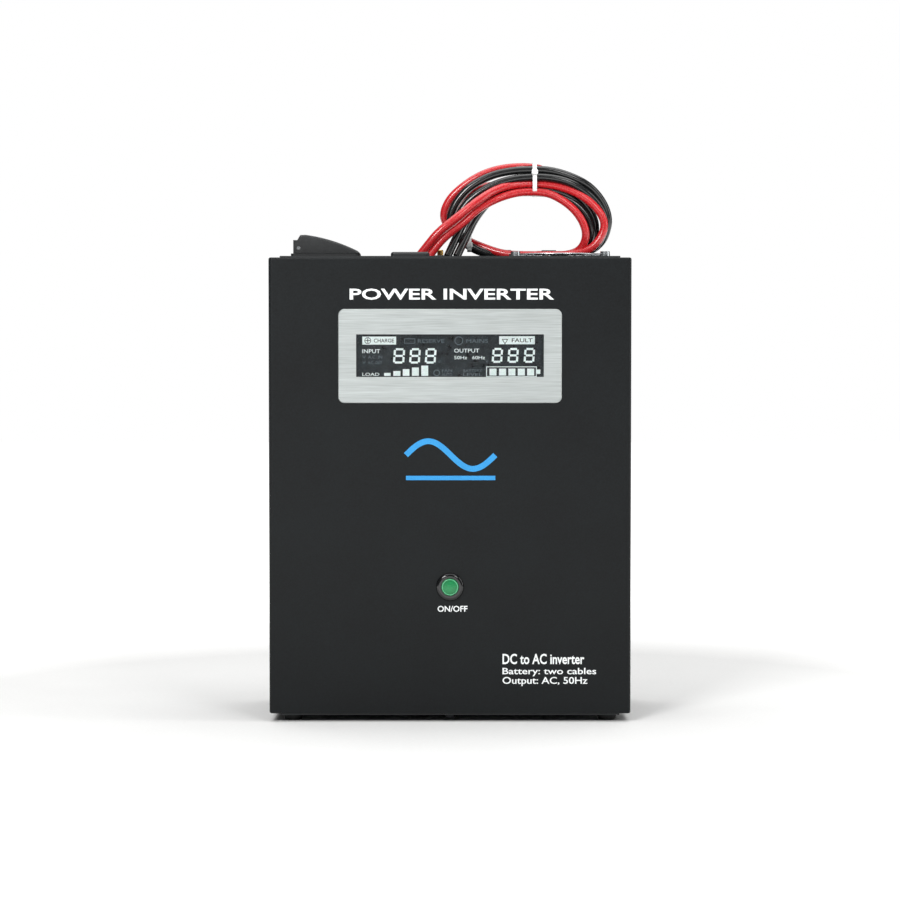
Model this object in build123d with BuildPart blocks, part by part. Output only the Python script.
"""Wall or bench power inverter: folded sheet case, display, outlet, fan and battery cables.

Millimetres. +Z is up, the front faces -Y, and Z = 0 is the surface the feet stand on.
"""

import math
import os

from build123d import *

os.makedirs("parts", exist_ok=True)

# Case
case_width = 288.0
case_depth = 140.0
cover_height = 363.0
sheet = 1.2
bend_radius = 3.0
fold_radius = 1.5
return_width = 14.0
sheet_gap = 0.2
plate_inset = 9.0
flange_width = 14.0
foot_height = 5.5
button_proud = 4.0

front_y = button_proud - (case_depth + button_proud) / 2
back_y = front_y + case_depth
middle_y = (front_y + back_y) / 2
bottom_z = foot_height
cover_low = bottom_z + sheet
cover_high = cover_low + cover_height
top_z = cover_high + sheet
wall_x = case_width / 2
inner_front_y = front_y + sheet
inner_back_y = back_y - sheet

# Side vent panels
panel_low = 41.0
panel_height = 315.0
panel_depth = 92.0
panel_thick = 1.3
panel_rim = 8.0
slot_rows = 26
slot_pitch = 11.2
slot_length = 32.0
slot_height = 3.2
rivet_radius = 1.6
rivet_head_radius = 2.6
rivet_head_depth = 0.7
fit_gap = 0.05

# Screws and feet
screw_radius = 2.0
screw_head_radius = 3.8
screw_head_height = 2.2
screw_hole_radius = 2.15
cover_screw_heights = (60.0, 188.0, 316.0)
foot_radius_top = 7.9
foot_radius_bottom = 6.9
foot_x = 126.0
foot_front_y = -49.0
foot_rear_y = 57.0
foot_recess = 2.5
bottom_screw_y = front_y + return_width / 2

# Wall mounting holes in the back
wall_hole_spacing = 180.0
wall_hole_radius = 2.75
wall_hole_z = 30.0
keyhole_z = 328.0
keyhole_entry_radius = 5.0
keyhole_rise = 14.0

# Display
plate_width = 177.2
plate_height = 74.5
plate_thick = 1.6
plate_corner = 4.9
plate_z = 291.6
window_width = 148.8
window_height = 33.7
window_z = 291.9
lens_gap = 0.15
lens_recess = 0.6
lens_thick = 1.8
module_width = 156.0
module_height = 42.0
module_thick = 7.0
board_thick = 1.6
display_board_width = 176.0
display_board_height = 62.0
standoff_radius = 3.0
display_standoff_x = 83.0
display_standoff_z = 26.0

# Push button
button_z = 108.0
bezel_radius = 11.1
bezel_height = 3.0
cap_radius = 6.8
cap_gap = 0.35
cap_length = 6.0
stem_radius = 2.6
stem_length = 13.0
button_travel = 3.0
barrel_radius = 8.0
barrel_length = 30.0
button_nut_radius = 11.0
button_nut_height = 3.0
spring_wire = 0.4
spring_radius = 4.9
spring_turns = 5

# AC outlet with a hinged lid
outlet_x = -100.7
outlet_y = -6.0
well_offset = 3.0
flange_x = 55.0
flange_y = 52.0
flange_height = 3.0
well_radius = 19.5
well_depth = 17.5
outlet_body_radius = 22.5
outlet_body_depth = 33.0
outlet_pin_spacing = 19.0
outlet_pin_radius = 2.6
contact_radius = 3.6
contact_bore = 2.45
earth_clip_width = 5.6
outlet_screw_spacing = 42.0
outlet_screw_radius = 1.6
outlet_screw_head = 3.0
lid_width = 50.0
lid_wall = 2.0
lid_gap = 0.3
hinge_x = -122.0
hinge_rise = 7.5
hinge_ear_radius = 4.2
hinge_pin_radius = 1.5
hinge_clearance = 0.05
hinge_block_half = 8.0
hinge_block_top = 14.4
hinge_side_gap = 0.4
hinge_pocket_half = 4.5
lid_spring_radius = 2.6
lid_spring_wire = 0.45

# AC inlet
inlet_x = -32.0
inlet_y = -30.0
inlet_bezel_x = 31.0
inlet_bezel_y = 24.0
inlet_bezel_height = 4.0
inlet_body_x = 27.4
inlet_body_y = 20.0
inlet_body_depth = 22.0
cavity_x = 24.4
cavity_y = 16.8
cavity_depth = 17.0
inlet_pin_width = 2.0
inlet_pin_height = 4.0
inlet_pin_spacing = 7.0
inlet_pin_recess = 3.0
inlet_tab_depth = 30.0

# Resettable breaker
breaker_x = outlet_x
breaker_y = 48.0
breaker_neck_radius = 6.0
breaker_neck_height = 4.5
breaker_body_x = 32.0
breaker_body_y = 15.0
breaker_body_depth = 28.0
breaker_button_radius = 4.2
breaker_button_height = 8.0
breaker_button_depth = 12.0
breaker_travel = 3.0
breaker_nut_radius = 8.5
breaker_nut_height = 2.5

# Earth stud
stud_x = -8.0
stud_y = 20.5
stud_radius = 2.5
stud_above = 7.5
stud_below = 8.0
nut_flats = 8.0
nut_height = 3.0

# Fan
fan_x = 88.0
fan_y = -13.8
fan_size = 80.0
fan_thick = 25.0
fan_bore = 38.5
fan_hole = 37.5
fan_screw_spacing = 71.5
guard_wire = 0.8
guard_rings = (10.0, 19.0, 28.0, 37.0)
guard_overlap = 0.3
guard_lift = 0.15
guard_eye_radius = 4.0
guard_eye_thick = 1.9
hub_radius = 16.0
hub_plate = 3.0
rotor_hub_radius = 15.5
rotor_height = 19.0
rotor_gap = 1.2
blade_count = 7
blade_reach = 37.0
blade_thick = 1.5
blade_chord = 18.0
blade_pitch = 40.0
shaft_radius = 1.5

# Battery cables
cable_diameter = 6.6
cable_radius = cable_diameter / 2
coil_front_y = 26.5
coil_back_y = 52.8
coil_gap = 0.2
grommet_y = 6.0
grommet_width = 12.0
grommet_flange = 1.8
grommet_lip = 1.5
red_exit_x = (-25.6, -16.9)
black_exit_x = (-1.9, 5.6)
palm_radius = 5.7
palm_thick = 2.4
palm_length = 16.0
lug_hole = 3.2
lug_barrel_radius = 3.7
lug_barrel_length = 11.0
sleeve_radius = 4.3
sleeve_gap = 0.05
sleeve_back = 5.0
sleeve_length = 12.0
flat_lug_rise = 4.5
flat_palm_drop = 3.2
red_end_1 = (95.0, 58.5, 64.5)
red_end_2 = (50.0, 57.5, 63.0)
black_end_1 = (46.0, 58.6, flat_lug_rise)
black_end_2 = (84.0, 66.3, flat_lug_rise)
tie_width = 3.6
tie_thick = 1.3

# Inside
core_x = -38.0
core_z = 100.0
core_radius = 60.0
core_hole = 19.0
core_height = 58.0
core_round = 10.0
pad_thick = 2.5
pad_radius = 46.0
dish_radius = 38.0
dish_thick = 2.0
core_stud_radius = 4.0
core_stud_spare = 12.0
power_board_width = 224.0
power_board_height = 132.0
power_board_z = 256.0
power_board_gap = 11.0
board_hole_inset = 7.0
heatsink_width = 64.0
heatsink_height = 52.0
heatsink_depth = 34.0
heatsink_base = 5.0
heatsink_fins = 7
fin_thick = 1.8
heatsink_x = 66.0
heatsink_z = 284.0
capacitor_radius = 9.0
capacitor_length = 32.0
capacitor_pitch = 22.0
capacitor_z = 212.0

small_gap = 0.3


def front_plane(y):
    """A plane across the case at y that faces the front: local x is X and local y is Z."""
    return Plane.XZ.offset(-y)


def save(builder, name):
    """Labels a finished piece and writes it to its own file."""
    builder.part.label = name
    export_step(builder.part, f"parts/{name}.step")


def bend_radii(points):
    """The largest tangent arc that each corner of a cable's route has room for."""
    corners = [Vector(*point) for point in points]
    radii = []
    for before, corner, after in zip(corners, corners[1:], corners[2:]):
        incoming = corner - before
        outgoing = after - corner
        half_turn = math.radians(incoming.get_angle(outgoing)) / 2
        shorter = min(incoming.length, outgoing.length)
        radii.append(0.45 * shorter / math.tan(half_turn))
    return radii


def cable_tube(route, name):
    """A plain round cable along its route, whose heights are above the top plate."""
    points = [(x, y, top_z + rise) for x, y, rise in route]
    radii = bend_radii(points)
    with BuildPart() as tube:
        with BuildLine() as path:
            FilletPolyline(*points, radius=radii)
        with BuildSketch(Plane(origin=path.wire() @ 0, z_dir=path.wire() % 0)):
            Circle(cable_radius)
        sweep(path=path.wire())
    length = path.wire().length
    share = tube.part.volume / (math.pi * cable_radius**2 * length)
    print(name, "length", round(length, 1), "radii", [round(r, 1) for r in radii], "volume", round(share, 4))
    save(tube, name)


# ---- Case ----

# Back, top and bottom of the case, one folded sheet, with side flanges inside the cover.
back_half = wall_x - sheet - sheet_gap
top_plate_half = wall_x - plate_inset
plate_front_y = front_y + fold_radius
flange_low = cover_low + sheet + sheet_gap
flange_high = cover_high - sheet - sheet_gap
flange_front_y = inner_back_y - flange_width
fan_screws_at = fan_screw_spacing / 2
grommet_pitch_red = red_exit_x[1] - red_exit_x[0]
grommet_pitch_black = black_exit_x[1] - black_exit_x[0]
red_grommet_x = sum(red_exit_x) / 2
black_grommet_x = sum(black_exit_x) / 2

with BuildPart() as rear_chassis:
    with BuildSketch(front_plane(back_y)):
        with Locations((0, (bottom_z + top_z) / 2)):
            Rectangle(2 * back_half, top_z - bottom_z)
    extrude(amount=sheet)
    for level, direction in ((top_z, -1), (bottom_z, 1)):
        with BuildSketch(Plane.XY.offset(level)):
            with Locations((0, (plate_front_y + back_y) / 2)):
                Rectangle(2 * top_plate_half, back_y - plate_front_y)
        extrude(amount=direction * sheet)
    with BuildSketch(Plane.XY.offset(flange_low)):
        for side in (-1, 1):
            with Locations((side * (back_half - sheet / 2), (flange_front_y + back_y) / 2)):
                Rectangle(sheet, back_y - flange_front_y)
    extrude(amount=flange_high - flange_low)
    # Top plate: fan, outlet, inlet, breaker, earth stud and cable holes.
    with BuildSketch(Plane.XY.offset(top_z)):
        with Locations((fan_x, fan_y)):
            Circle(fan_hole)
            with GridLocations(fan_screw_spacing, fan_screw_spacing, 2, 2):
                Circle(screw_hole_radius)
        with Locations((outlet_x + well_offset, outlet_y)):
            Circle(outlet_body_radius + small_gap)
        with Locations((outlet_x, outlet_y)):
            with GridLocations(outlet_screw_spacing, outlet_screw_spacing, 2, 2):
                Circle(outlet_screw_radius + fit_gap)
        with Locations((inlet_x, inlet_y)):
            Rectangle(inlet_body_x + small_gap, inlet_body_y + small_gap)
        with Locations((breaker_x, breaker_y)):
            Circle(breaker_neck_radius + fit_gap)
        with Locations((stud_x, stud_y)):
            Circle(stud_radius + fit_gap)
        with Locations((red_grommet_x, grommet_y)):
            SlotCenterToCenter(grommet_pitch_red, grommet_width)
        with Locations((black_grommet_x, grommet_y)):
            SlotCenterToCenter(grommet_pitch_black, grommet_width)
    extrude(amount=-sheet, mode=Mode.SUBTRACT)
    # Bottom plate: foot screws and the front screw.
    with BuildSketch(Plane.XY.offset(bottom_z)):
        for y in (foot_front_y, foot_rear_y):
            with Locations((-foot_x, y), (foot_x, y)):
                Circle(screw_hole_radius)
        with Locations((0, bottom_screw_y)):
            Circle(screw_hole_radius)
    extrude(amount=sheet, mode=Mode.SUBTRACT)
    # Back: two keyholes above and two plain holes below, for hanging on a wall.
    with BuildSketch(front_plane(back_y)):
        for side in (-1, 1):
            x = side * wall_hole_spacing / 2
            with Locations((x, keyhole_z)):
                Circle(keyhole_entry_radius)
            with Locations((x, keyhole_z + keyhole_rise / 2)):
                SlotCenterToCenter(keyhole_rise, 2 * wall_hole_radius, rotation=90)
            with Locations((x, wall_hole_z)):
                Circle(wall_hole_radius)
    extrude(amount=sheet, mode=Mode.SUBTRACT)
    # Flanges: tapped holes for the cover screws.
    with BuildSketch(Plane.YZ.offset(-wall_x)):
        for height in cover_screw_heights:
            with Locations((inner_back_y - flange_width / 2, height)):
                Circle(screw_radius + fit_gap)
    extrude(amount=case_width, mode=Mode.SUBTRACT)
save(rear_chassis, "rear_chassis")

# Front and sides, one folded sheet, with short returns along its top and bottom edges.
with BuildPart() as front_cover:
    with BuildSketch(Plane.XY.offset(cover_low)) as cover_outline:
        with Locations((0, middle_y)):
            Rectangle(case_width, case_depth)
        fillet(cover_outline.vertices().group_by(Axis.Y)[0], radius=bend_radius)
    extrude(amount=cover_height)
    folded = [
        edge
        for face in (front_cover.faces().sort_by(Axis.Z)[-1], front_cover.faces().sort_by(Axis.Z)[0])
        for edge in face.edges()
        if edge.center().Y < back_y - small_gap
    ]
    fillet(folded, radius=fold_radius)
    with BuildSketch(Plane.XY.offset(cover_low + sheet)) as hollow_outline:
        with Locations((0, middle_y + sheet)):
            Rectangle(case_width - 2 * sheet, case_depth)
        fillet(hollow_outline.vertices().group_by(Axis.Y)[0], radius=bend_radius - sheet)
    extrude(amount=cover_height - 2 * sheet, mode=Mode.SUBTRACT)
    with BuildSketch(Plane.XY.offset(cover_low)):
        with Locations((0, middle_y + return_width)):
            Rectangle(case_width - 2 * return_width, case_depth)
    extrude(amount=cover_height, mode=Mode.SUBTRACT)
    # The returns stop short of the back wall.
    with BuildSketch(Plane.XY.offset(cover_low)):
        with Locations((0, back_y)):
            Rectangle(2 * (wall_x - sheet), 2 * (sheet + sheet_gap))
    extrude(amount=cover_height, mode=Mode.SUBTRACT)
    # Display opening and button hole.
    with BuildSketch(front_plane(front_y)):
        with Locations((0, window_z)):
            Rectangle(window_width, window_height)
        with Locations((0, button_z)):
            Circle(barrel_radius + fit_gap)
    extrude(amount=-sheet, mode=Mode.SUBTRACT)
    # Side windows behind the vent panels, rivet holes and cover screw holes.
    with BuildSketch(Plane.YZ.offset(-wall_x)):
        with Locations((middle_y, panel_low + panel_height / 2)):
            RectangleRounded(panel_depth - 2 * panel_rim, panel_height - 2 * panel_rim, 3)
            with GridLocations(panel_depth - panel_rim, (panel_height - panel_rim) / 2, 2, 3):
                Circle(rivet_radius + fit_gap)
        for height in cover_screw_heights:
            with Locations((inner_back_y - flange_width / 2, height)):
                Circle(screw_hole_radius)
    extrude(amount=case_width, mode=Mode.SUBTRACT)
    # Return hole for the bottom front screw.
    with BuildSketch(Plane.XY.offset(cover_low)):
        with Locations((0, bottom_screw_y)):
            Circle(screw_radius + fit_gap)
    extrude(amount=sheet, mode=Mode.SUBTRACT)
save(front_cover, "front_cover")


def vent_panel(side, name):
    """A slotted plate riveted over a side window; side is -1 for the left and 1 for the right."""
    with BuildPart() as panel:
        with BuildSketch(Plane.YZ.offset(side * wall_x)):
            with Locations((middle_y, panel_low + panel_height / 2)):
                RectangleRounded(panel_depth, panel_height, 3)
                with GridLocations(slot_length + panel_rim, slot_pitch, 2, slot_rows):
                    SlotOverall(slot_length, slot_height, mode=Mode.SUBTRACT)
                with GridLocations(panel_depth - panel_rim, (panel_height - panel_rim) / 2, 2, 3):
                    Circle(rivet_radius + fit_gap, mode=Mode.SUBTRACT)
        extrude(amount=side * panel_thick)
        with BuildSketch(Plane.YZ.offset(side * (wall_x + panel_thick))):
            with Locations((middle_y, panel_low + panel_height / 2)):
                with GridLocations(panel_depth - panel_rim, (panel_height - panel_rim) / 2, 2, 3):
                    Circle(rivet_head_radius + fit_gap)
        extrude(amount=-side * rivet_head_depth, mode=Mode.SUBTRACT)
    save(panel, name)


vent_panel(-1, "left_vent_panel")
vent_panel(1, "right_vent_panel")

# Flush rivets that hold the vent panels.
rivet_end = wall_x - sheet - small_gap
with BuildPart() as panel_rivets:
    for side in (-1, 1):
        with BuildSketch(Plane.YZ.offset(side * (wall_x + panel_thick))):
            with Locations((middle_y, panel_low + panel_height / 2)):
                with GridLocations(panel_depth - panel_rim, (panel_height - panel_rim) / 2, 2, 3):
                    Circle(rivet_head_radius)
        extrude(amount=-side * (rivet_head_depth - fit_gap))
        with BuildSketch(Plane.YZ.offset(side * (wall_x + panel_thick))):
            with Locations((middle_y, panel_low + panel_height / 2)):
                with GridLocations(panel_depth - panel_rim, (panel_height - panel_rim) / 2, 2, 3):
                    Circle(rivet_radius)
        extrude(amount=-side * (wall_x + panel_thick - rivet_end))
save(panel_rivets, "panel_rivets")

# Low button head screws through the cover's sides into the rear flanges.
cover_screw_length = sheet + sheet_gap + sheet + 4
with BuildPart() as cover_screws:
    for side in (-1, 1):
        for height in cover_screw_heights:
            spot = (inner_back_y - flange_width / 2, height)
            with BuildSketch(Plane.YZ.offset(side * wall_x)):
                with Locations(spot):
                    Circle(screw_head_radius)
            extrude(amount=side * panel_thick)
            with BuildSketch(Plane.YZ.offset(side * wall_x)):
                with Locations(spot):
                    Circle(screw_radius)
            extrude(amount=-side * cover_screw_length)
save(cover_screws, "cover_screws")

# Tapered rubber feet, recessed for their screws.
foot_spots = [(x, y) for x in (-foot_x, foot_x) for y in (foot_front_y, foot_rear_y)]
with BuildPart() as rubber_feet:
    for spot in foot_spots:
        with BuildSketch(Plane.XY):
            with Locations(spot):
                Circle(foot_radius_bottom)
        with BuildSketch(Plane.XY.offset(foot_height)):
            with Locations(spot):
                Circle(foot_radius_top)
        loft()
    for spot in foot_spots:
        with BuildSketch(Plane.XY):
            with Locations(spot):
                Circle(screw_radius + fit_gap)
        extrude(amount=foot_height, mode=Mode.SUBTRACT)
        with BuildSketch(Plane.XY):
            with Locations(spot):
                Circle(screw_head_radius + small_gap)
        extrude(amount=foot_recess, mode=Mode.SUBTRACT)
save(rubber_feet, "rubber_feet")

# Pan head screws: one in each foot, and one through the bottom plate into the cover's return.
screw_end = cover_low + sheet + 4
with BuildPart() as bottom_screws:
    for x, y, seat in [(x, y, foot_recess) for x, y in foot_spots] + [(0, bottom_screw_y, bottom_z)]:
        with BuildSketch(Plane.XY.offset(seat)):
            with Locations((x, y)):
                Circle(screw_head_radius)
        extrude(amount=-screw_head_height)
        with BuildSketch(Plane.XY.offset(seat)):
            with Locations((x, y)):
                Circle(screw_radius)
        extrude(amount=screw_end - seat)
save(bottom_screws, "bottom_screws")

# ---- Display ----

# Brushed plate with a window, on the front of the cover.
with BuildPart() as display_plate:
    with BuildSketch(front_plane(front_y)):
        with Locations((0, plate_z)):
            RectangleRounded(plate_width, plate_height, plate_corner)
        with Locations((0, window_z)):
            Rectangle(window_width, window_height, mode=Mode.SUBTRACT)
    extrude(amount=plate_thick)
    rim = display_plate.faces().sort_by(Axis.Y)[0].outer_wire().edges()
    chamfer(rim, length=0.5)
save(display_plate, "display_plate")

# Clear lens in the window, a little below the plate's face.
lens_front_y = front_y - plate_thick + lens_recess
with BuildPart() as display_window:
    with BuildSketch(front_plane(lens_front_y)):
        with Locations((0, window_z)):
            Rectangle(window_width - 2 * lens_gap, window_height - 2 * lens_gap)
    extrude(amount=-lens_thick)
save(display_window, "display_window")

# The liquid crystal display behind the cover, its board and the studs that hold the board.
module_front_y = inner_front_y + lens_gap
with BuildPart() as lcd_module:
    with BuildSketch(front_plane(module_front_y)):
        with Locations((0, window_z)):
            Rectangle(module_width, module_height)
    extrude(amount=-module_thick)
save(lcd_module, "lcd_module")

display_board_y = module_front_y + module_thick + lens_gap
with BuildPart() as display_board:
    with BuildSketch(front_plane(display_board_y)):
        with Locations((0, window_z)):
            Rectangle(display_board_width, display_board_height)
            with GridLocations(2 * display_standoff_x, 2 * display_standoff_z, 2, 2):
                Circle(screw_radius, mode=Mode.SUBTRACT)
    extrude(amount=-board_thick)
save(display_board, "display_board")

# ---- Push button ----

# Domed black bezel on the cover.
bore_radius = cap_radius + cap_gap
with BuildPart() as button_bezel:
    with BuildSketch(front_plane(front_y)):
        with Locations((0, button_z)):
            Circle(bezel_radius)
            Circle(bore_radius, mode=Mode.SUBTRACT)
    extrude(amount=bezel_height)
    bezel_front = button_bezel.faces().sort_by(Axis.Y)[0]
    fillet(bezel_front.outer_wire().edges(), radius=2.4)
save(button_bezel, "button_bezel")

# Green cap with its stem.
cap_front_y = front_y - button_proud
with BuildPart() as button_cap:
    with BuildSketch(front_plane(cap_front_y)):
        with Locations((0, button_z)):
            Circle(cap_radius)
    extrude(amount=-cap_length)
    chamfer(button_cap.faces().sort_by(Axis.Y)[0].edges(), length=0.8)
    with BuildSketch(front_plane(cap_front_y + cap_length)):
        with Locations((0, button_z)):
            Circle(stem_radius)
    extrude(amount=-stem_length)
save(button_cap, "button_cap")

# Threaded barrel behind the bezel, bored for the cap, the spring and the stem.
spring_end_y = cap_front_y + cap_length + 9.5
stem_room = button_travel + small_gap
with BuildPart() as button_body:
    with BuildSketch(front_plane(front_y)):
        with Locations((0, button_z)):
            Circle(barrel_radius)
    extrude(amount=-barrel_length)
    with BuildSketch(front_plane(front_y)):
        with Locations((0, button_z)):
            Circle(bore_radius)
    extrude(amount=-(spring_end_y - front_y), mode=Mode.SUBTRACT)
    with BuildSketch(front_plane(front_y)):
        with Locations((0, button_z)):
            Circle(stem_radius + small_gap)
    extrude(amount=-(cap_front_y + cap_length + stem_length + stem_room - front_y), mode=Mode.SUBTRACT)
save(button_body, "button_body")

with BuildPart() as button_nut:
    with BuildSketch(front_plane(inner_front_y)):
        with Locations((0, button_z)):
            RegularPolygon(button_nut_radius, 6)
            Circle(barrel_radius + fit_gap, mode=Mode.SUBTRACT)
    extrude(amount=-button_nut_height)
save(button_nut, "button_nut")

# Return spring between the cap and the barrel's shoulder.
spring_start_y = cap_front_y + cap_length + spring_wire + fit_gap
spring_length = spring_end_y - spring_wire - fit_gap - spring_start_y
with BuildPart() as button_spring:
    with BuildLine() as coil_line:
        Helix(
            pitch=spring_length / spring_turns,
            height=spring_length,
            radius=spring_radius,
            center=(0, spring_start_y, button_z),
            direction=(0, 1, 0),
        )
    with BuildSketch(Plane(origin=coil_line.wire() @ 0, z_dir=coil_line.wire() % 0)):
        Circle(spring_wire)
    sweep(path=coil_line.wire())
save(button_spring, "button_spring")

# ---- AC outlet ----

outlet_plane = Plane(origin=(outlet_x, outlet_y, top_z))
well_plane = Plane(origin=(outlet_x + well_offset, outlet_y, top_z))
lid_low = flange_height + lid_gap
hinge_z = top_z + hinge_rise

# Flange, round body with the plug well, pin holes and the hinge block.
with BuildPart() as outlet_body:
    with BuildSketch(outlet_plane):
        RectangleRounded(flange_x, flange_y, 3)
    extrude(amount=flange_height)
    with BuildSketch(well_plane):
        Circle(outlet_body_radius)
    extrude(amount=-outlet_body_depth)
    block_left = outlet_x - flange_x / 2 + 1
    block_right = hinge_x + hinge_ear_radius
    with BuildSketch(outlet_plane.offset(flange_height)):
        with Locations(((block_left + block_right) / 2 - outlet_x, 0)):
            Rectangle(block_right - block_left, 2 * hinge_block_half)
    extrude(amount=hinge_block_top - flange_height)
    with BuildSketch(outlet_plane.offset(hinge_rise - hinge_ear_radius + 1)):
        with Locations(((block_left + block_right) / 2 - outlet_x, 0)):
            Rectangle(block_right - block_left, 2 * hinge_pocket_half)
    extrude(amount=hinge_block_top, mode=Mode.SUBTRACT)
    with BuildSketch(well_plane.offset(flange_height)):
        Circle(well_radius)
    extrude(amount=-well_depth, mode=Mode.SUBTRACT)
    with BuildSketch(well_plane.offset(flange_height - 2)):
        with Locations((0, well_radius), (0, -well_radius)):
            Rectangle(earth_clip_width + small_gap, 3)
    extrude(amount=2 - well_depth, mode=Mode.SUBTRACT)
    with BuildSketch(well_plane):
        with GridLocations(outlet_pin_spacing, 1, 2, 1):
            Circle(outlet_pin_radius)
    extrude(amount=-outlet_body_depth, mode=Mode.SUBTRACT)
    with BuildSketch(well_plane.offset(-outlet_body_depth)):
        with GridLocations(outlet_pin_spacing, 1, 2, 1):
            Circle(contact_radius + fit_gap)
    extrude(amount=outlet_body_depth - well_depth + flange_height - 2, mode=Mode.SUBTRACT)
    with BuildSketch(outlet_plane.offset(flange_height)):
        with GridLocations(outlet_screw_spacing, outlet_screw_spacing, 2, 2):
            Circle(outlet_screw_head + fit_gap)
    extrude(amount=-1.6, mode=Mode.SUBTRACT)
    with BuildSketch(outlet_plane):
        with GridLocations(outlet_screw_spacing, outlet_screw_spacing, 2, 2):
            Circle(outlet_screw_radius + fit_gap)
    extrude(amount=flange_height, mode=Mode.SUBTRACT)
    with BuildSketch(front_plane(outlet_y - hinge_block_half)):
        with Locations((hinge_x, hinge_z)):
            Circle(hinge_pin_radius + 0.02)
    extrude(amount=-2 * hinge_block_half, mode=Mode.SUBTRACT)
save(outlet_body, "outlet_body")

# Sloping lid, hollow below, notched round the hinge block, and bored for the hinge pin.
lid_right = outlet_x + flange_x / 2
ear_left = hinge_x - hinge_ear_radius
lid_top = 18.1
with BuildPart() as outlet_lid:
    with BuildSketch(front_plane(outlet_y - lid_width / 2)):
        with BuildLine():
            crown = ThreePointArc(
                (lid_right - 1, top_z + 5.0),
                (lid_right - 23.8, top_z + 14.0),
                (lid_right - 43.3, top_z + lid_top),
            )
            shoulder = Line(crown @ 1, (hinge_x + 1.4, top_z + lid_top - 0.2))
            slope = Line(shoulder @ 1, (ear_left + 0.1, hinge_z + 0.9))
            heel = ThreePointArc(
                slope @ 1,
                (hinge_x - 0.72 * hinge_ear_radius, hinge_z - 0.69 * hinge_ear_radius),
                (hinge_x, hinge_z - hinge_ear_radius),
            )
            sill = Line(heel @ 1, (lid_right, top_z + lid_low))
            Line(sill @ 1, crown @ 0)
        make_face()
    extrude(amount=-lid_width)
    sides = outlet_lid.faces().group_by(Axis.Y)
    crown_edges = [
        edge
        for face in (sides[0][0], sides[-1][0])
        for edge in face.edges()
        if edge.center().Z > top_z + 8.5 and edge.center().X > hinge_x
    ]
    fillet(crown_edges, radius=1.6)
    with BuildSketch(front_plane(outlet_y - lid_width / 2 + lid_wall)):
        with BuildLine():
            ceiling = ThreePointArc(
                (lid_right - 6, top_z + 4.4),
                (lid_right - 24.5, top_z + 11.6),
                (lid_right - 43.0, top_z + lid_top - lid_wall),
            )
            inner_end = Line(ceiling @ 1, (hinge_x + hinge_ear_radius + 0.3, top_z + lid_top - lid_wall))
            drop = Line(inner_end @ 1, (hinge_x + hinge_ear_radius + 0.3, top_z + 2))
            floor = Line(drop @ 1, (lid_right - 6, top_z + 2))
            Line(floor @ 1, ceiling @ 0)
        make_face()
    extrude(amount=-(lid_width - 2 * lid_wall), mode=Mode.SUBTRACT)
    with BuildSketch(Plane.XY.offset(top_z)):
        with Locations((hinge_x - 1, outlet_y)):
            Rectangle(14, 2 * (hinge_block_half + hinge_side_gap))
    extrude(amount=2 * lid_top, mode=Mode.SUBTRACT)
    with BuildSketch(front_plane(outlet_y - lid_width / 2)):
        with Locations((hinge_x, hinge_z)):
            Circle(hinge_pin_radius + hinge_clearance)
    extrude(amount=-lid_width, mode=Mode.SUBTRACT)
save(outlet_lid, "outlet_lid")

# Steel hinge pin, held in the block.
pin_length = lid_width - 2
with BuildPart() as lid_hinge_pin:
    with BuildSketch(front_plane(outlet_y - pin_length / 2)):
        with Locations((hinge_x, hinge_z)):
            Circle(hinge_pin_radius)
    extrude(amount=-pin_length)
save(lid_hinge_pin, "lid_hinge_pin")

# Closing spring round the pin, in the block's pocket.
lid_spring_length = 2 * (hinge_pocket_half - lid_spring_wire - fit_gap)
lid_spring_turns = 6
with BuildPart() as lid_spring:
    with BuildLine() as spring_line:
        Helix(
            pitch=lid_spring_length / lid_spring_turns,
            height=lid_spring_length,
            radius=lid_spring_radius,
            center=(hinge_x, outlet_y - lid_spring_length / 2, hinge_z),
            direction=(0, 1, 0),
        )
    with BuildSketch(Plane(origin=spring_line.wire() @ 0, z_dir=spring_line.wire() % 0)):
        Circle(lid_spring_wire)
    sweep(path=spring_line.wire())
save(lid_spring, "lid_spring")

# Two pin sleeves below the well's floor.
contact_top = flange_height - well_depth - 2
contact_length = outlet_body_depth + contact_top + 5
with BuildPart() as outlet_contacts:
    with BuildSketch(well_plane.offset(contact_top - fit_gap)):
        with GridLocations(outlet_pin_spacing, 1, 2, 1):
            Circle(contact_radius)
            Circle(contact_bore, mode=Mode.SUBTRACT)
    extrude(amount=-contact_length)
save(outlet_contacts, "outlet_contacts")

# Two earth clips let into the well's wall.
with BuildPart() as earth_clips:
    with BuildSketch(well_plane.offset(flange_height - 2 - fit_gap)):
        with Locations((0, well_radius + 0.7), (0, -well_radius - 0.7)):
            Rectangle(earth_clip_width, 1.1)
    extrude(amount=2.2 - well_depth)
save(earth_clips, "earth_clips")

with BuildPart() as outlet_screws:
    with BuildSketch(outlet_plane.offset(flange_height)):
        with GridLocations(outlet_screw_spacing, outlet_screw_spacing, 2, 2):
            Circle(outlet_screw_head)
    extrude(amount=-1.55)
    with BuildSketch(outlet_plane.offset(flange_height - 1)):
        with GridLocations(outlet_screw_spacing, outlet_screw_spacing, 2, 2):
            Circle(outlet_screw_radius)
    extrude(amount=-10)
save(outlet_screws, "outlet_screws")

# ---- AC inlet ----

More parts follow.
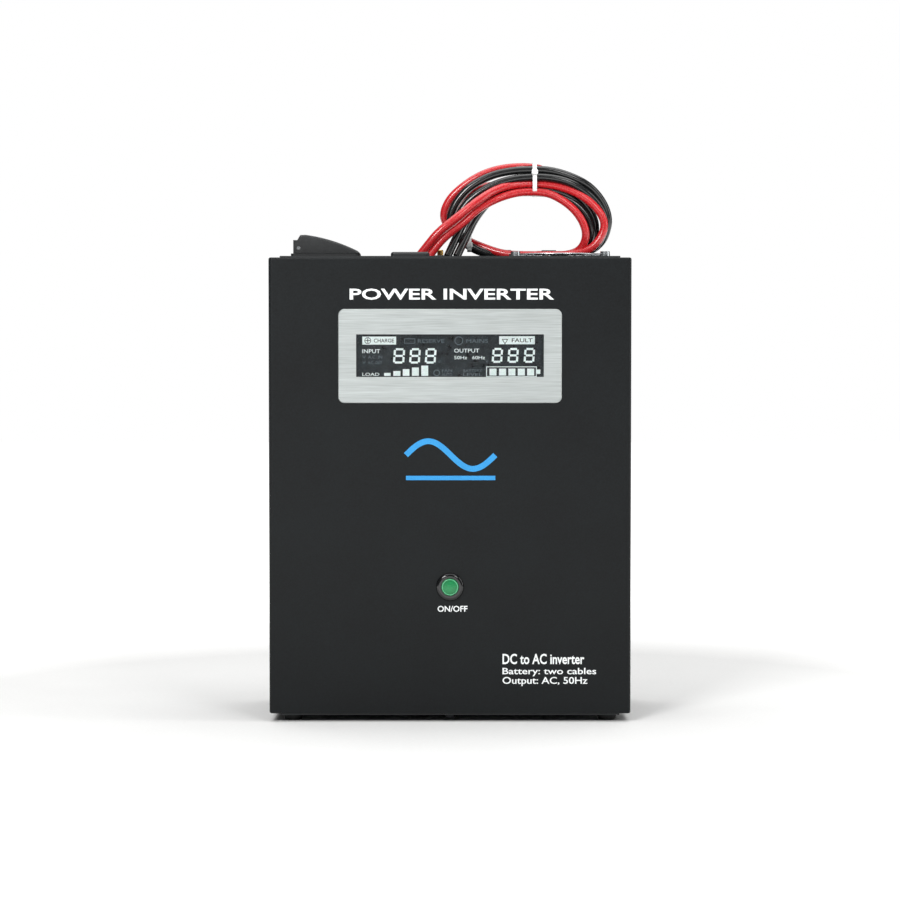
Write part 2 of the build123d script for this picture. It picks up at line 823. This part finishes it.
inlet_plane = Plane(origin=(inlet_x, inlet_y, top_z))
with BuildPart() as inlet_body:
    with BuildSketch(inlet_plane):
        RectangleRounded(inlet_bezel_x, inlet_bezel_y, 3)
    extrude(amount=inlet_bezel_height)
    fillet(inlet_body.faces().sort_by(Axis.Z)[-1].edges(), radius=2)
    with BuildSketch(inlet_plane):
        RectangleRounded(inlet_body_x, inlet_body_y, 1.5)
    extrude(amount=-inlet_body_depth)
    with BuildSketch(inlet_plane.offset(inlet_bezel_height)):
        RectangleRounded(cavity_x, cavity_y, 2.5)
    extrude(amount=-cavity_depth, mode=Mode.SUBTRACT)
    with BuildSketch(inlet_plane):
        with Locations((-inlet_pin_spacing, -2), (0, 2), (inlet_pin_spacing, -2)):
            Rectangle(inlet_pin_width + fit_gap, inlet_pin_height + fit_gap)
    extrude(amount=-inlet_body_depth, mode=Mode.SUBTRACT)
save(inlet_body, "inlet_body")

with BuildPart() as inlet_pins:
    with BuildSketch(inlet_plane.offset(inlet_bezel_height - inlet_pin_recess)):
        with Locations((-inlet_pin_spacing, -2), (0, 2), (inlet_pin_spacing, -2)):
            Rectangle(inlet_pin_width, inlet_pin_height)
    extrude(amount=-inlet_tab_depth)
save(inlet_pins, "inlet_pins")

# ---- Resettable breaker ----

breaker_plane = Plane(origin=(breaker_x, breaker_y, top_z))
with BuildPart() as breaker_body:
    with BuildSketch(breaker_plane.offset(-sheet)):
        RectangleRounded(breaker_body_x, breaker_body_y, 2)
    extrude(amount=-breaker_body_depth)
    with BuildSketch(breaker_plane.offset(-sheet)):
        Circle(breaker_neck_radius)
    extrude(amount=sheet + breaker_neck_height)
    with BuildSketch(breaker_plane.offset(breaker_neck_height)):
        Circle(breaker_button_radius + small_gap)
    extrude(amount=-(breaker_neck_height + breaker_button_depth + small_gap), mode=Mode.SUBTRACT)
save(breaker_body, "breaker_body")

with BuildPart() as breaker_button:
    with BuildSketch(breaker_plane.offset(-breaker_button_depth)):
        Circle(breaker_button_radius)
    extrude(amount=breaker_button_depth + breaker_button_height)
    fillet(breaker_button.faces().sort_by(Axis.Z)[-1].edges(), radius=1)
save(breaker_button, "breaker_button")

with BuildPart() as breaker_nut:
    with BuildSketch(breaker_plane):
        Circle(breaker_nut_radius)
        Circle(breaker_neck_radius + fit_gap, mode=Mode.SUBTRACT)
    extrude(amount=breaker_nut_height)
    chamfer(breaker_nut.faces().sort_by(Axis.Z)[-1].outer_wire().edges(), length=0.6)
save(breaker_nut, "breaker_nut")

# ---- Earth stud ----

stud_plane = Plane(origin=(stud_x, stud_y, top_z))
with BuildPart() as earth_stud:
    with BuildSketch(stud_plane.offset(-stud_below)):
        Circle(stud_radius)
    extrude(amount=stud_below + stud_above)
    chamfer(earth_stud.faces().sort_by(Axis.Z)[-1].edges(), length=0.5)
save(earth_stud, "earth_stud")

with BuildPart() as earth_nuts:
    for level in (0.0, -sheet - nut_height):
        with BuildSketch(stud_plane.offset(level)):
            RegularPolygon(nut_flats / 2, 6, major_radius=False)
            Circle(stud_radius + fit_gap, mode=Mode.SUBTRACT)
        extrude(amount=nut_height)
save(earth_nuts, "earth_nuts")

# ---- Fan ----

fan_top = top_z - sheet
fan_plane = Plane(origin=(fan_x, fan_y, fan_top))
fan_bottom_plane = fan_plane.offset(-fan_thick)
with BuildPart() as fan_frame:
    with BuildSketch(fan_plane):
        RectangleRounded(fan_size, fan_size, 4)
        Circle(fan_bore, mode=Mode.SUBTRACT)
        with GridLocations(fan_screw_spacing, fan_screw_spacing, 2, 2):
            Circle(screw_hole_radius, mode=Mode.SUBTRACT)
    extrude(amount=-fan_thick)
    with BuildSketch(fan_bottom_plane):
        Circle(hub_radius)
        Rectangle(2 * fan_bore + 1, 4)
        Rectangle(4, 2 * fan_bore + 1)
        Circle(shaft_radius + fit_gap, mode=Mode.SUBTRACT)
    extrude(amount=hub_plate)
save(fan_frame, "fan_frame")

rotor_low = fan_top - fan_thick + hub_plate + rotor_gap
blade_start = rotor_hub_radius - 1.5
with BuildPart() as fan_rotor:
    with BuildSketch(Plane(origin=(fan_x, fan_y, rotor_low))):
        Circle(rotor_hub_radius)
    extrude(amount=rotor_height)
    with BuildSketch(Plane(origin=(fan_x, fan_y, fan_top - fan_thick))):
        Circle(shaft_radius)
    extrude(amount=hub_plate + rotor_gap)
    with Locations((fan_x, fan_y, rotor_low + rotor_height / 2)):
        with PolarLocations((blade_start + blade_reach) / 2, blade_count):
            Box(blade_reach - blade_start, blade_thick, blade_chord, rotation=(blade_pitch, 0, 0))
save(fan_rotor, "fan_rotor")

# Wire guard over the fan hole: rings on four arms with a screw eye at each end.
arm_start = guard_rings[0] - 2
eye_reach = fan_screw_spacing / math.sqrt(2)
with BuildPart() as finger_guard:
    with Locations((fan_x, fan_y, top_z + guard_lift + 3 * guard_wire - guard_overlap)):
        for ring_radius in guard_rings:
            Torus(ring_radius, guard_wire)
    for angle in (45, 135, 225, 315):
        turn = math.radians(angle)
        outward = (math.cos(turn), math.sin(turn), 0)
        arm_x = fan_x + arm_start * outward[0]
        arm_y = fan_y + arm_start * outward[1]
        with BuildSketch(Plane(origin=(arm_x, arm_y, top_z + guard_lift + guard_wire), z_dir=outward)):
            Circle(guard_wire)
        extrude(amount=eye_reach - guard_eye_radius + 1 - arm_start)
    with BuildSketch(Plane(origin=(fan_x, fan_y, top_z))):
        with GridLocations(fan_screw_spacing, fan_screw_spacing, 2, 2):
            Circle(guard_eye_radius)
            Circle(screw_hole_radius, mode=Mode.SUBTRACT)
    extrude(amount=guard_eye_thick)
save(finger_guard, "finger_guard")

with BuildPart() as fan_screws:
    with BuildSketch(Plane(origin=(fan_x, fan_y, top_z + guard_eye_thick))):
        with GridLocations(fan_screw_spacing, fan_screw_spacing, 2, 2):
            Circle(screw_head_radius)
    extrude(amount=screw_head_height)
    with BuildSketch(Plane(origin=(fan_x, fan_y, top_z + guard_eye_thick))):
        with GridLocations(fan_screw_spacing, fan_screw_spacing, 2, 2):
            Circle(screw_radius)
    extrude(amount=-(guard_eye_thick + sheet + fan_thick + 3))
save(fan_screws, "fan_screws")

# ---- Battery cables ----


def cable_grommet(x, pitch, name):
    """An oval rubber grommet in the top plate for a pair of cables."""
    with BuildPart() as grommet:
        with BuildSketch(Plane(origin=(x, grommet_y, top_z))):
            SlotCenterToCenter(pitch, grommet_width + 2 * grommet_lip)
        extrude(amount=grommet_flange)
        fillet(grommet.faces().sort_by(Axis.Z)[-1].edges(), radius=1)
        with BuildSketch(Plane(origin=(x, grommet_y, top_z))):
            SlotCenterToCenter(pitch, grommet_width - 2 * fit_gap)
        extrude(amount=-sheet - 2)
    save(grommet, name)


cable_grommet(red_grommet_x, grommet_pitch_red, "red_grommet")
cable_grommet(black_grommet_x, grommet_pitch_black, "black_grommet")

# Each cable leaves its grommet leaning to the right, climbs and runs into the coil.
cable_tube(
    [
        (red_exit_x[0], grommet_y, grommet_flange),
        (-20.3, 5.0, 8.4),
        (-9.5, 3.8, 22.0),
        (6.5, 6.0, 34.2),
        (23.0, 14.0, 48.0),
        (39.0, 26.5, 58.4),
    ],
    "red_lead_1",
)
cable_tube(
    [
        (red_exit_x[1], grommet_y, grommet_flange),
        (-13.0, 7.6, 7.8),
        (-3.6, 8.8, 18.4),
        (10.0, 11.2, 28.6),
        (23.0, 18.0, 41.2),
        (38.5, 27.5, 50.0),
    ],
    "red_lead_2",
)
cable_tube(
    [
        (black_exit_x[0], grommet_y, grommet_flange),
        (0.4, 8.4, 7.0),
        (5.9, 15.5, 19.0),
        (12.0, 25.0, 31.0),
    ],
    "black_lead_1",
)
cable_tube(
    [
        (black_exit_x[1], grommet_y, grommet_flange),
        (8.1, 8.4, 7.0),
        (14.0, 16.0, 19.4),
        (20.5, 25.0, 33.5),
        (33.5, 34.0, 50.0),
    ],
    "black_lead_2",
)

# The tied coil of all four cables, standing on the top plate.
coil_outline = [
    (-9.8, 34.0),
    (1.0, 59.0),
    (30.0, 76.0),
    (66.0, 80.5),
    (100.0, 74.5),
    (125.0, 57.0),
    (135.0, 34.0),
    (129.5, 16.0),
    (116.0, 2.5),
    (96.0, coil_gap),
    (40.0, coil_gap),
    (18.0, 3.0),
    (-3.0, 16.0),
]
with BuildPart() as cable_coil:
    with BuildSketch(front_plane(coil_front_y)):
        with BuildLine():
            Spline([(x, top_z + rise) for x, rise in coil_outline], periodic=True)
        make_face()
        with Locations((58, top_z + 30)):
            Ellipse(44, 21.5, mode=Mode.SUBTRACT)
    extrude(amount=-(coil_back_y - coil_front_y))
save(cable_coil, "cable_coil")

# The red cables end in lugs behind the top of the coil.
cable_tube(
    [
        (73.0, 46.0, 76.5),
        (78.0, 52.5, 74.3),
        (86.0, 57.9, 69.8),
        red_end_1,
    ],
    "red_tail_1",
)
cable_tube(
    [
        (6.0, 42.0, 51.0),
        (17.5, 46.0, 57.5),
        (29.0, 51.6, 61.3),
        (40.0, 57.1, 62.8),
        red_end_2,
    ],
    "red_tail_2",
)

# The black cables come out of the coil low on its right, and their lugs lie on the top plate behind it.
cable_tube(
    [
        (121.0, 48.0, 10.5),
        (113.0, 53.3, 5.8),
        (101.0, 56.0, 4.7),
        (88.0, 56.9, 4.5),
        (76.0, 56.7, 4.4),
        (66.0, 56.8, 4.5),
        (56.0, 58.3, 4.5),
        black_end_1,
    ],
    "black_tail_1",
)
cable_tube(
    [
        (127.0, 51.0, 15.5),
        (120.5, 58.0, 9.3),
        (110.0, 62.8, 5.2),
        (97.0, 65.8, 4.4),
        black_end_2,
    ],
    "black_tail_2",
)

# Where each cable ends, which way its lug points, which way its palm faces, and the palm's offset.
slope = math.radians(30)
lug_places = {
    "red_lug_1": (red_end_1, (math.cos(slope), 0, -math.sin(slope)), (0, 1, 0), 0),
    "red_lug_2": (red_end_2, (1, 0, 0), (0, 1, 0), 0),
    "black_lug_1": (black_end_1, (-1, 0, 0), (0, 0, 1), -flat_palm_drop),
    "black_lug_2": (black_end_2, (-1, 0, 0), (0, 0, 1), -flat_palm_drop),
}
hole_reach = lug_barrel_length + palm_length - palm_radius
for name, (end, direction, facing, offset) in lug_places.items():
    x, y, rise = end
    start = (x, y, top_z + rise)
    palm_plane = Plane(origin=start, x_dir=direction, z_dir=facing)
    with BuildPart() as lug:
        with BuildSketch(palm_plane.offset(offset - palm_thick / 2)):
            with Locations((hole_reach, 0)):
                Circle(palm_radius)
            with Locations(((lug_barrel_length - 1 + hole_reach) / 2, 0)):
                Rectangle(hole_reach - lug_barrel_length + 1, 2 * lug_barrel_radius + 2)
            with Locations((hole_reach, 0)):
                Circle(lug_hole, mode=Mode.SUBTRACT)
        extrude(amount=palm_thick)
        with BuildSketch(Plane(origin=start, z_dir=direction)):
            Circle(lug_barrel_radius)
        extrude(amount=lug_barrel_length)
    save(lug, name)

# Heat shrink sleeves over the barrels and the cable ends.
with BuildPart() as lug_sleeves:
    for end, direction, facing, offset in lug_places.values():
        x, y, rise = end
        axis_plane = Plane(origin=(x, y, top_z + rise), z_dir=direction)
        with BuildSketch(axis_plane.offset(-sleeve_back)):
            Circle(sleeve_radius)
            Circle(lug_barrel_radius + sleeve_gap, mode=Mode.SUBTRACT)
        extrude(amount=sleeve_length)
save(lug_sleeves, "lug_sleeves")

# Two cable ties: one round the top of the coil, one round its lower left.
with BuildPart() as cable_ties:
    for x, low, high in ((70.0, 48.6, 82.6), (16.0, 0.05, 30.5)):
        with BuildSketch(Plane.YZ.offset(x - tie_width / 2)):
            with Locations(((coil_front_y + coil_back_y) / 2, top_z + (low + high) / 2)):
                half = (coil_back_y - coil_front_y) / 2 + small_gap
                RectangleRounded(2 * half + 2 * tie_thick, high - low, 2)
                RectangleRounded(2 * half, high - low - 2 * tie_thick, 1, mode=Mode.SUBTRACT)
        extrude(amount=tie_width)
save(cable_ties, "cable_ties")

# ---- Inside ----

# Toroidal transformer lying against the back wall: winding, rubber pads, dish washer and bolt.
winding_back_y = inner_back_y - pad_thick - small_gap / 6
with BuildPart() as transformer_winding:
    with BuildSketch(front_plane(winding_back_y)):
        with Locations((core_x, core_z)):
            Circle(core_radius)
            Circle(core_hole, mode=Mode.SUBTRACT)
    extrude(amount=core_height)
    fillet(transformer_winding.edges().filter_by(GeomType.CIRCLE), radius=core_round)
save(transformer_winding, "transformer_winding")

winding_front_y = winding_back_y - core_height
with BuildPart() as transformer_pads:
    for pad_y in (inner_back_y, winding_front_y - small_gap / 6):
        with BuildSketch(front_plane(pad_y)):
            with Locations((core_x, core_z)):
                Circle(pad_radius)
                Circle(core_stud_radius + fit_gap, mode=Mode.SUBTRACT)
        extrude(amount=pad_thick)
save(transformer_pads, "transformer_pads")

dish_y = winding_front_y - pad_thick - small_gap / 3
with BuildPart() as transformer_dish:
    with BuildSketch(front_plane(dish_y)):
        with Locations((core_x, core_z)):
            Circle(dish_radius)
            Circle(core_stud_radius + fit_gap, mode=Mode.SUBTRACT)
    extrude(amount=dish_thick)
    fillet(transformer_dish.faces().sort_by(Axis.Y)[0].outer_wire().edges(), radius=1)
save(transformer_dish, "transformer_dish")

bolt_front_y = dish_y - dish_thick - small_gap / 6
with BuildPart() as transformer_bolt:
    with BuildSketch(front_plane(inner_back_y)):
        with Locations((core_x, core_z)):
            Circle(core_stud_radius)
    extrude(amount=inner_back_y - bolt_front_y + core_stud_spare)
    with BuildSketch(front_plane(bolt_front_y)):
        with Locations((core_x, core_z)):
            RegularPolygon(2 * core_stud_radius, 6)
    extrude(amount=0.8 * core_stud_spare)
save(transformer_bolt, "transformer_bolt")

# Power board on studs from the back wall, with two finned heatsinks and a row of capacitors.
power_board_back_y = inner_back_y - power_board_gap
board_hole_x = power_board_width - 2 * board_hole_inset
board_hole_z = power_board_height - 2 * board_hole_inset
with BuildPart() as power_board:
    with BuildSketch(front_plane(power_board_back_y)):
        with Locations((0, power_board_z)):
            Rectangle(power_board_width, power_board_height)
            with GridLocations(board_hole_x, board_hole_z, 2, 2):
                Circle(screw_radius, mode=Mode.SUBTRACT)
    extrude(amount=board_thick)
save(power_board, "power_board")

# Hexagonal stand-offs: four behind the power board and four longer than the display is deep.
with BuildPart() as board_standoffs:
    with BuildSketch(front_plane(inner_back_y)):
        with Locations((0, power_board_z)):
            with GridLocations(board_hole_x, board_hole_z, 2, 2):
                RegularPolygon(standoff_radius, 6)
    extrude(amount=power_board_gap)
    with BuildSketch(front_plane(inner_front_y)):
        with Locations((0, window_z)):
            with GridLocations(2 * display_standoff_x, 2 * display_standoff_z, 2, 2):
                RegularPolygon(standoff_radius, 6)
    extrude(amount=-(display_board_y - inner_front_y))
save(board_standoffs, "board_standoffs")

board_front_y = power_board_back_y - board_thick
fin_pitch = (heatsink_width - fin_thick) / (heatsink_fins - 1)
with BuildPart() as heatsinks:
    for side in (-1, 1):
        with BuildSketch(front_plane(board_front_y)):
            with Locations((side * heatsink_x, heatsink_z)):
                Rectangle(heatsink_width, heatsink_height)
        extrude(amount=heatsink_base)
        with BuildSketch(front_plane(board_front_y)):
            with Locations((side * heatsink_x, heatsink_z)):
                with GridLocations(fin_pitch, 1, heatsink_fins, 1):
                    Rectangle(fin_thick, heatsink_height)
        extrude(amount=heatsink_depth)
save(heatsinks, "heatsinks")

with BuildPart() as capacitors:
    with BuildSketch(front_plane(board_front_y)):
        with Locations((0, capacitor_z)):
            with GridLocations(capacitor_pitch, 1, 6, 1):
                Circle(capacitor_radius)
    extrude(amount=capacitor_length)
    fillet(capacitors.edges().filter_by(GeomType.CIRCLE), radius=1)
save(capacitors, "capacitors")
